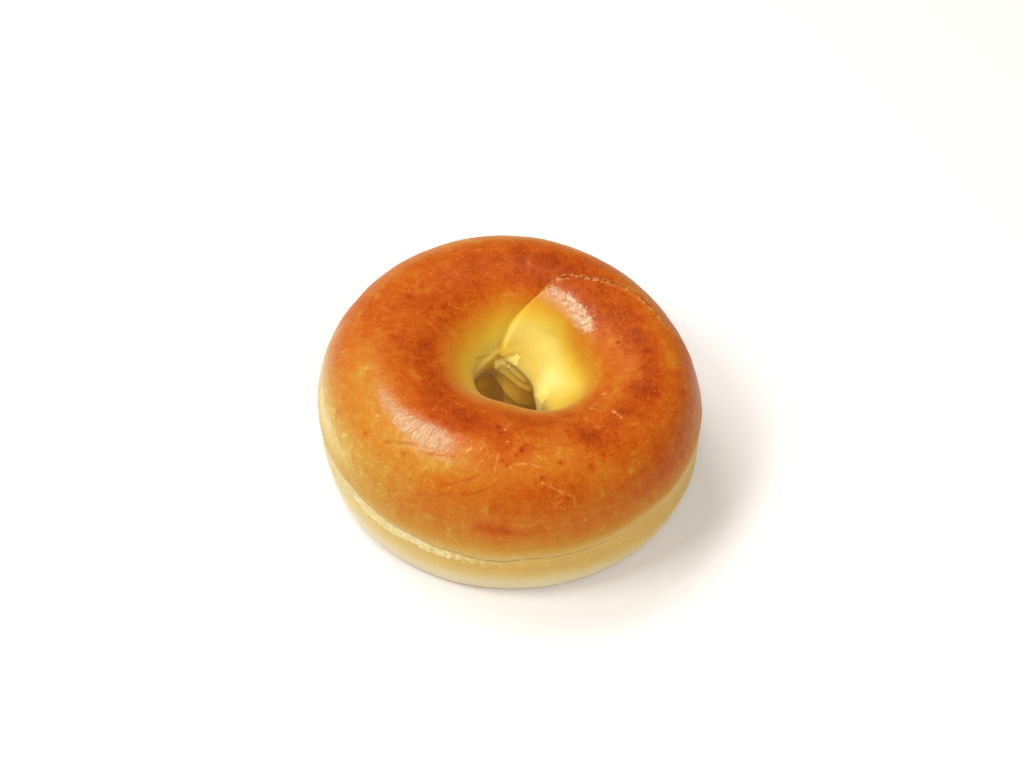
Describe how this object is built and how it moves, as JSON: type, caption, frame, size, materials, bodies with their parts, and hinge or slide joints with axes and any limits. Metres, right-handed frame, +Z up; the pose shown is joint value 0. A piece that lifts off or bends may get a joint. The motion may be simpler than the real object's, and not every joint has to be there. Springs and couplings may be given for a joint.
{
  "type": "bagel",
  "caption": "Ring-shaped bread roll with a glazed domed crown, a burst line round the side, a wrapped rope end and a flat baked foot.",
  "frame": {"origin": "centre of the roll's box in plan, on the level of its flat foot", "axes": "+Z up from the foot through the hole; -Y towards the side shown to the camera; +X to that side's right, towards the side that the rope's wrapped end comes from"},
  "size_m": [0.1098, 0.1098, 0.05],
  "materials": {
    "crust": "egg-washed baked crust, orange brown and satin glossy on the crown, pale cream yellow and matt on the belly and in the hole"
  },
  "bodies": {
    "root": {"bagel": "crust"}
  },
  "joints": []
}
